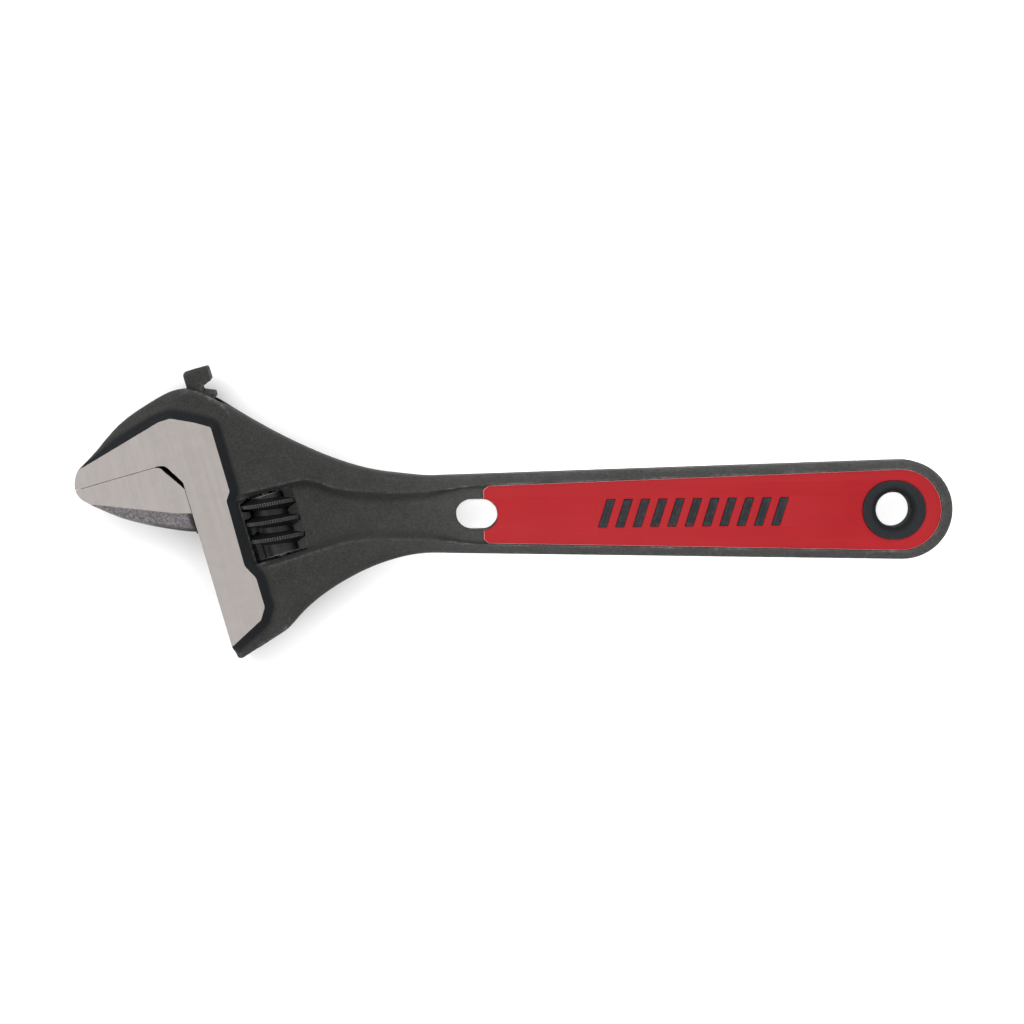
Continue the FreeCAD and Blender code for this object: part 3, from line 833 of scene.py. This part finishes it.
# ----------------------------------------
# Worm: a turned screw with a left-hand thread whose crest is knurled for the thumb. It has plain
# bosses at both ends, a bore for its pin and a wider pocket at its foot for the spring.

WORM_START = 13.5
WORM_LENGTH = 14.5
THREAD_START = 14.0
THREAD_TURNS = 2.75


def new_tree(name, sizes):
    """A Geometry Nodes tree and its inputs, one for each size."""
    tree = bpy.data.node_groups.new(name, "GeometryNodeTree")
    tree.interface.new_socket("Geometry", in_out="OUTPUT", socket_type="NodeSocketGeometry")
    for key, value in sizes.items():
        kind = "NodeSocketInt" if isinstance(value, int) else "NodeSocketFloat"
        tree.interface.new_socket(key, in_out="INPUT", socket_type=kind).default_value = value
    group = tree.nodes.new("NodeGroupInput")
    return tree, {key: Wire(tree, group.outputs[key]) for key in sizes}


def end_tree(shape, material):
    """Gives the tree's shape its material and hands it out."""
    real = shape.node("GeometryNodeRealizeInstances", None, {"Geometry": shape})
    worn = shape.node("GeometryNodeSetMaterial", None, {"Geometry": real, "Material": material})
    out = shape.tree.nodes.new("NodeGroupOutput")
    shape.tree.links.new(worn.socket, out.inputs[0])


def worm_tree(material):
    """Geometry Nodes tree: a grid rolled round the axis, raised to the thread's section."""
    tree, size = new_tree("threaded_worm", {
        "Columns": 432, "Rows": 211,
        "Crest Radius": 6.9, "Root Radius": 4.2, "Crest Width": 0.8, "Root Width": 2.8,
        "Pitch": PITCH, "Length": WORM_LENGTH, "Mesh Place": MESH_PLACE - WORM_START,
        "Thread Start": THREAD_START - WORM_START,
        "Thread End": THREAD_START - WORM_START + THREAD_TURNS * PITCH,
        "Bore Radius": 1.55, "Pocket Radius": 2.7, "Pocket Depth": 8.0,
        "Knurl Teeth": 72.0, "Knurl Depth": 0.24,
    })
    maths = Wire(tree)
    grid = maths.node(
        "GeometryNodeMeshGrid", None,
        {"Size X": 1.0, "Size Y": 1.0, "Vertices X": size["Columns"], "Vertices Y": size["Rows"]},
    )
    spot = maths.node("GeometryNodeInputPosition")
    parts = tree.nodes.new("ShaderNodeSeparateXYZ")
    tree.links.new(spot.socket, parts.inputs[0])
    turn = Wire(tree, parts.outputs["X"]) + 0.5
    row = (Wire(tree, parts.outputs["Y"]) + 0.5) * (size["Rows"] - 1.0)
    row = row.maths("ROUND", row)
    last = size["Rows"] - 6.0

    # Rows run out of the bore, along the thread, into the spring pocket and back down the bore.
    def past(number):
        return row.maths("GREATER_THAN", row, number)

    outer = past(0.5) * (1.0 - past(last + 0.5))
    height = row.maths("MULTIPLY", (row - 1.0) / (last - 1.0), size["Length"])
    height = height.maths("MINIMUM", height.maths("MAXIMUM", height, 0.0), size["Length"])
    height = height - past(last + 1.5) * size["Pocket Depth"]
    height = height - past(last + 3.5) * (size["Length"] - size["Pocket Depth"])

    lead = size["Pitch"] * turn
    steps = (height - size["Mesh Place"] + lead) / size["Pitch"]
    crest = size["Mesh Place"] - lead + size["Pitch"] * steps.maths("ROUND", steps)
    away = (height - crest).maths("ABSOLUTE", height - crest)
    tooth = size["Crest Radius"] - size["Root Radius"]
    slope = tooth / ((size["Root Width"] - size["Crest Width"]) * 0.5)
    flank = size["Crest Radius"] - (away - size["Crest Width"] * 0.5) * slope
    thread = flank.maths("SMOOTH_MIN", flank, size["Crest Radius"], 0.25)
    begun = (crest - size["Thread Start"]).between(-0.05, 0.55)
    ended = (size["Thread End"] - crest).between(-0.05, 0.55)
    thread = thread - (1.0 - begun * ended) * (tooth + 0.3)
    knurl = (turn * size["Knurl Teeth"]).maths("PINGPONG", turn * size["Knurl Teeth"], 0.5) * 2.0
    proud = (thread - size["Crest Radius"]).between(-0.75, -0.1)
    thread = thread - proud * knurl * size["Knurl Depth"]
    radius = thread.maths("SMOOTH_MAX", thread, size["Root Radius"], 0.3)
    rim = height.maths("MINIMUM", height, size["Length"] - height) + size["Root Radius"] - 0.35
    lip = rim.maths("MAXIMUM", rim, size["Root Radius"] + 9.0 * (rim - size["Root Radius"] + 0.35))
    radius = radius.maths("MINIMUM", radius, lip)
    pocket = past(last + 0.5) * (1.0 - past(last + 2.5))
    inner = size["Bore Radius"] + pocket * (size["Pocket Radius"] - size["Bore Radius"])
    radius = radius * outer + inner * (1.0 - outer)

    angle = turn * math.tau
    place = maths.node(
        "ShaderNodeCombineXYZ", None,
        {0: radius * angle.maths("COSINE", angle), 1: radius * angle.maths("SINE", angle), 2: height},
    )
    rolled = maths.node("GeometryNodeSetPosition", None, {"Geometry": grid, "Position": place})
    closed = maths.node("GeometryNodeMergeByDistance", None, {"Geometry": rolled, "Distance": 0.0005})
    end_tree(closed, material)
    return tree


def plain_mesh(seed):
    """The mesh that an object shows. The object itself is taken away."""
    bpy.context.view_layer.update()
    mesh = bpy.data.meshes.new_from_object(seed.evaluated_get(bpy.context.evaluated_depsgraph_get()))
    bpy.data.objects.remove(seed)
    return mesh


def grown_mesh(name, tree, inputs=None):
    """The plain mesh that a Geometry Nodes tree makes."""
    seed = placed(name, bpy.data.meshes.new(name))
    modifier = seed.modifiers.new(name, "NODES")
    modifier.node_group = tree
    for socket in tree.interface.items_tree:
        if socket.in_out == "INPUT" and socket.name in (inputs or {}):
            modifier[socket.identifier] = inputs[socket.name]
    return plain_mesh(seed)


def on_worm_axis(height):
    """Matrix from millimetres about +Z to the worm's axis: +X faces the rack, +Z the opening way."""
    at = head(WORM_PLACE, height)
    return Matrix((
        (-across[0] * MM, 0, opening[0] * MM, at[0] * MM),
        (-across[1] * MM, 0, opening[1] * MM, at[1] * MM),
        (0, -MM, 0, 0),
        (0, 0, 0, 1),
    ))


def standing(name, mesh, matrix, material):
    """An object whose mesh is moved into the row frame."""
    mesh.transform(matrix)
    return new_piece(name, mesh, [material])


def black_worm_finish(maths):
    """Oiled black, rubbed bright on the knurled crests."""
    place = maths.object_place()
    wear_and_shade = maths.attribute("edge_wear_and_hollow_shade")
    grit = maths.noise(place, 0.0003, 3.0)
    cloud = maths.noise(place, 0.002, 3.0)
    rubbed = wear_and_shade.between(0.006, 0.034) * (0.3 + 0.9 * cloud)
    dark = cloud.colour((0.011, 0.011, 0.0112, 1), (0.03, 0.03, 0.031, 1))
    return {
        "Base Color": rubbed.maths("MINIMUM", rubbed, 1.0).colour(dark, (0.17, 0.17, 0.175, 1)),
        "Roughness": 0.36 + 0.12 * grit - 0.08 * rubbed,
        "Normal": maths.bump(grit, 0.00004, 0.5),
    }


worm_black = new_finish("oiled_black", black_worm_finish, Metallic=0.75)
worm_mesh = grown_mesh("worm_screw", worm_tree(worm_black), {"Columns": 432})
worm = standing("knurled_worm", worm_mesh, on_worm_axis(WORM_START), worm_black)
worm.data.set_sharp_from_angle(angle=math.radians(48))
mark_edge_wear_and_shade(worm.data, 1)
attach(worm, "worm_screw")
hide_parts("worm")

# ----------------------------------------
# Worm pin and spring: a plain drawn pin pressed in from the head's foot, and a small coil of
# spring wire round it that keeps the worm from turning by itself.

PIN_FOOT = 41.6
SPRING_WIRE = 0.6
SPRING_RADIUS = 2.2
SPRING_START = 20.1
SPRING_COILS = 6.0
TURNED_STEPS = 48


def turned(name, profile, height, material):
    """A lathe-turned piece from (radius, height) pairs, closed on the worm's axis."""
    columns = np.arange(TURNED_STEPS) / TURNED_STEPS * math.tau
    vertices = [(0, 0, profile[0][1])]
    for radius, rise in profile:
        vertices += [(radius * math.cos(t), radius * math.sin(t), rise) for t in columns]
    vertices.append((0, 0, profile[-1][1]))
    end = len(vertices) - 1
    faces = []
    for i in range(TURNED_STEPS):
        j = (i + 1) % TURNED_STEPS
        faces.append((0, 1 + j, 1 + i))
        for ring in range(len(profile) - 1):
            base = 1 + ring * TURNED_STEPS
            faces.append((base + i, base + j, base + TURNED_STEPS + j, base + TURNED_STEPS + i))
        base = 1 + (len(profile) - 1) * TURNED_STEPS
        faces.append((end, base + i, base + j))
    mesh = bpy.data.meshes.new(name)
    mesh.from_pydata(vertices, [], faces)
    return standing(name, mesh, on_worm_axis(height), material)


def drawn_steel(maths):
    """Bright drawn bar with a faint cloudy tone and a film of oil."""
    place = maths.object_place()
    cloud = maths.noise(place, 0.0006, 3.0)
    return {
        "Base Color": cloud.colour((0.06, 0.06, 0.06, 1), (0.13, 0.13, 0.13, 1)),
        "Roughness": 0.26 + 0.2 * cloud,
        "Normal": maths.bump(cloud, 0.00002, 0.4),
    }


plain_steel = new_finish("drawn_steel", drawn_steel, Metallic=1.0)
length = PIN_FOOT - PIN_START
pin_profile = [(1.0, 0), (PIN_RADIUS, 0.4), (PIN_RADIUS, length - 0.35), (1.15, length)]
pin = turned("pin", pin_profile, PIN_START, plain_steel)
pin.data.set_sharp_from_angle(angle=math.radians(30))
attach(pin, "frame")
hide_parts("worm_pin")


def spring_tree(material):
    """Geometry Nodes tree: round wire swept along a helix, ends capped."""
    tree, size = new_tree("coil_spring", {
        "Coils": SPRING_COILS, "Coil Radius": SPRING_RADIUS, "Wire Radius": SPRING_WIRE / 2,
        "Height": WINDOW_FOOT - SPRING_START - SPRING_WIRE,
    })
    maths = Wire(tree)
    helix = maths.node(
        "GeometryNodeCurveSpiral", None,
        {"Resolution": 40, "Rotations": size["Coils"], "Start Radius": size["Coil Radius"],
         "End Radius": size["Coil Radius"], "Height": size["Height"]},
    )
    section = maths.node(
        "GeometryNodeCurvePrimitiveCircle", None, {"Resolution": 14, "Radius": size["Wire Radius"]},
    )
    wire = maths.node(
        "GeometryNodeCurveToMesh", None, {"Curve": helix, "Profile Curve": section, "Fill Caps": True},
    )
    end_tree(wire, material)
    return tree


spring_mesh = grown_mesh("spring", spring_tree(plain_steel))
spring = standing("spring", spring_mesh, on_worm_axis(SPRING_START + SPRING_WIRE / 2), plain_steel)
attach(spring, "frame")
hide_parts("worm_spring")

# ----------------------------------------
# Inlays: thin red sheet, die-cut to the handle's recess with windows for the ring, the oblong
# hole and the raised bars. The cut leaves a narrow pale bevel all round.

PANEL_THICKNESS = 0.5
PANEL_GAP = 0.12
PANEL_BEVEL = 0.09
CORNER_CUT = 1.1
RIM_CLEAR = 0.6             # the bevels nearer than this to a window aren't part of the rim
BARS_CLEAR = 1.0            # the same for the bars, which lean the other way on the far side
SQUARE = ((-1, -1), (1, -1), (1, 1), (-1, 1))


def tapered_points(start_half, end_half):
    """The inlay's outline: straight sides that spread to a round end, corners slightly cut."""
    start_top, end_top = tapered(start_half, end_half)[1:]
    straight = [start_top * FLIP + (CORNER_CUT, 0.0), end_top * FLIP]
    round_end = arc(end_top * FLIP, np.array([PANEL_END_X + end_half, 0]), end_top, 48)
    start = [start_top + (CORNER_CUT, 0.0), start_top - (0, 1.0), start_top * FLIP + (0, 1.0)]
    return straight + round_end + start


def oblong_points(middle, length, height, count=24):
    """A hole or ring with straight sides and round ends."""
    reach = (length - height) / 2
    made = []
    for i in range(2 * count):
        t = math.pi * i / count - math.pi / 2
        side = reach if i < count else -reach
        made.append(np.array([middle + side + height / 2 * math.cos(t), height / 2 * math.sin(t)]))
    return made


def bar_points(i):
    """The window round one of the raised bars."""
    middle = BAR_MIDDLE + BAR_PITCH * (i - (BAR_COUNT - 1) / 2)
    half = BAR_HEIGHT / 2 + PANEL_GAP
    lean = half * math.tan(BAR_SLANT)
    wide = (BAR_WIDTH / 2 + PANEL_GAP) / math.cos(BAR_SLANT)
    return [np.array([middle + i * wide + j * lean, j * half]) for i, j in SQUARE]


def panel_mesh(name):
    """The sheet as a filled curve with a small bevel, made a mesh."""
    hole = oblong_points(SLOT_X, SLOT_LENGTH + 2 * PANEL_GAP, SLOT_HEIGHT + 2 * PANEL_GAP)
    bite = sorted((point for point in hole if point[0] > PANEL_START), key=lambda point: -point[1])
    rim = tapered_points(RECESS_AT_NECK - PANEL_GAP, RECESS_AT_EYE - PANEL_GAP)
    across_hole = [np.array([PANEL_START, bite[0][1]])] + bite + [np.array([PANEL_START, bite[-1][1]])]
    window = oblong_points(0, RING_LENGTH + 2 * PANEL_GAP, RING_HEIGHT + 2 * PANEL_GAP, 40)
    loops = [rim[:-1] + across_hole + rim[-1:], window]
    loops += [bar_points(i) for i in range(BAR_COUNT)]
    curve = bpy.data.curves.new(name, "CURVE")
    curve.dimensions = "2D"
    curve.fill_mode = "BOTH"
    curve.extrude = (PANEL_THICKNESS / 2 - PANEL_BEVEL) * MM
    curve.bevel_depth = PANEL_BEVEL * MM
    curve.bevel_resolution = 2
    curve.offset = -PANEL_BEVEL * MM
    for loop in loops:
        spline = curve.splines.new("POLY")
        spline.points.add(len(loop) - 1)
        for point, place in zip(spline.points, loop):
            point.co = (place[0] * MM, place[1] * MM, 0, 1)
        spline.use_cyclic_u = True
    mesh = plain_mesh(placed(name, curve))
    welded = bmesh.new()
    welded.from_mesh(mesh)
    bmesh.ops.remove_doubles(welded, verts=welded.verts, dist=0.003 * MM)
    bmesh.ops.recalc_face_normals(welded, faces=welded.faces)
    welded.to_mesh(mesh)
    welded.free()
    return mesh


def red_sheet(maths):
    """Smooth red plastic with faint rolling streaks."""
    place = maths.object_place()
    streak = maths.noise(place.mapped("Scale", (60, 900, 900)), 1.0, 3.0, 0.5)
    cloud = maths.noise(place, 0.02, 3.0)
    tone = 0.6 * cloud + 0.4 * streak
    return {
        "Base Color": tone.between(0.3, 0.7).colour((0.17, 0.0035, 0.0055, 1), (0.19, 0.005, 0.0075, 1)),
        "Roughness": 0.5 + 0.12 * streak,
        "Normal": maths.bump(streak, 0.00001, 0.35),
    }


def cut_edge(maths):
    """Paler core of the sheet where the die cut through its face."""
    cloud = maths.noise(maths.object_place(), 0.0006, 3.0)
    return {
        "Base Color": cloud.colour((0.3, 0.08, 0.085, 1), (0.6, 0.33, 0.33, 1)),
        "Roughness": 0.3 + 0.2 * cloud,
    }


red_finish = new_finish("red_sheet", red_sheet, Metallic=0.0, Specular_IOR_Level=0.08)
edge_finish = new_finish("die_cut_edge", cut_edge, Metallic=0.0)
for name, node, side in (("front_inlay", "front_panel", 1), ("back_inlay", "back_panel", -1)):
    mesh = panel_mesh(name)
    middle = (PANEL_FLOOR + PANEL_THICKNESS / 2) * MM
    place = Matrix.Translation((0, 0, middle))
    if side < 0:
        place = Matrix.Rotation(math.pi, 4, "X") @ place
    inlay = standing(name, mesh, place, red_finish)
    inlay.data.materials.append(edge_finish)
    middles, normals = face_centres(inlay.data)
    x, y = middles[:, 0], middles[:, 1]
    bevel = (np.abs(normals[:, 2]) < 0.99) & (bar_distance(x, y) > BARS_CLEAR)
    bevel &= oblong_distance(x, y, 0, RING_LENGTH, RING_HEIGHT) > RIM_CLEAR
    bevel &= oblong_distance(x, y, SLOT_X, SLOT_LENGTH, SLOT_HEIGHT) > RIM_CLEAR
    finish_faces(inlay.data, bevel, 40)
    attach(inlay, "frame")
    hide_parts(node)

# ----------------------------------------
# Studio: a pale floor under the wrench, soft light from above and a camera that looks almost
# straight down on it.

FLOOR_REACH = 3.0
FLOOR_Z = -7.02 * MM
BOX_DISTANCE = 1.3
BOX_SIZE = 0.9
WRENCH_MIDDLE = Vector((-0.09, 0, 0))
HANDLE_MIDDLE = Vector((-0.043, 0, 0))


def floor_finish(maths):
    """Matt pale paper."""
    cloud = maths.noise(maths.object_place(), 0.05, 2.0)
    return {
        "Base Color": cloud.colour((0.91, 0.91, 0.91, 1), (0.93, 0.93, 0.93, 1)),
        "Roughness": 0.8 + 0.1 * cloud,
    }


floor_mesh = bpy.data.meshes.new("floor")
corners = [(x * FLOOR_REACH, y * FLOOR_REACH, FLOOR_Z) for x, y in SQUARE]
floor_mesh.from_pydata(corners, [], [(0, 1, 2, 3)])
floor_mesh.materials.append(new_finish("pale_floor", floor_finish, Specular_IOR_Level=0.1))
floor = placed("floor", floor_mesh)

world = bpy.data.worlds.new("studio")
bpy.context.scene.world = world
world.use_nodes = True
sky = world.node_tree.nodes["Background"]
sky.inputs["Color"].default_value = (1, 1, 1, 1)
sky.inputs["Strength"].default_value = 0.75


def add_light(data, power, spot, way):
    """A light at a spot, shining against the given way."""
    data.energy = power
    light = placed(data.name, data)
    light.location = spot
    light.rotation_mode = "QUATERNION"
    light.rotation_quaternion = way.to_track_quat("Z", "Y")


def soft_light(name, azimuth, elevation, power):
    """A square soft box that faces the wrench."""
    turn, rise = math.radians(azimuth), math.radians(elevation)
    way = Vector((math.cos(turn) * math.cos(rise), math.sin(turn) * math.cos(rise), math.sin(rise)))
    data = bpy.data.lights.new(name, "AREA")
    data.size = BOX_SIZE
    add_light(data, power, WRENCH_MIDDLE + way * BOX_DISTANCE, way)


soft_light("upper_left_box", 130, 45, 9.0)
soft_light("upper_right_box", 60, 40, 7.5)
soft_light("lower_left_box", 225, 50, 4.5)
soft_light("lower_right_box", 315, 50, 4.5)

CAMERA_DISTANCE = 0.6
CAMERA_TILT = math.radians(4.0)
CAMERA_ROLL = math.radians(0.67)
SEEN_WIDTH = 0.2437

camera_data = bpy.data.cameras.new("camera")
camera_data.sensor_width = 36.0
camera_data.lens = camera_data.sensor_width * CAMERA_DISTANCE / SEEN_WIDTH
camera_data.clip_start = 0.01
camera = placed("camera", camera_data)
target = Vector((-0.0904, 0.0003, 0))
back = Vector((0, math.sin(CAMERA_TILT), math.cos(CAMERA_TILT)))
camera.location = target + back * CAMERA_DISTANCE
camera.rotation_mode = "QUATERNION"
camera.rotation_quaternion = (
    Matrix.Rotation(-CAMERA_TILT, 3, "X") @ Matrix.Rotation(-CAMERA_ROLL, 3, "Z")
).to_quaternion()
bpy.context.scene.camera = camera
bpy.context.scene.view_settings.view_transform = "Standard"

# A small lamp beside the camera lights the handle and, through its two holes, the floor below.
lamp_data = bpy.data.lights.new("handle_lamp", "SPOT")
lamp_data.shadow_soft_size = 0.02
lamp_data.spot_size = math.radians(15.0)
lamp_data.spot_blend = 0.35
add_light(lamp_data, 13.0, camera.location, camera.location - HANDLE_MIDDLE)

bpy.context.view_layer.update()
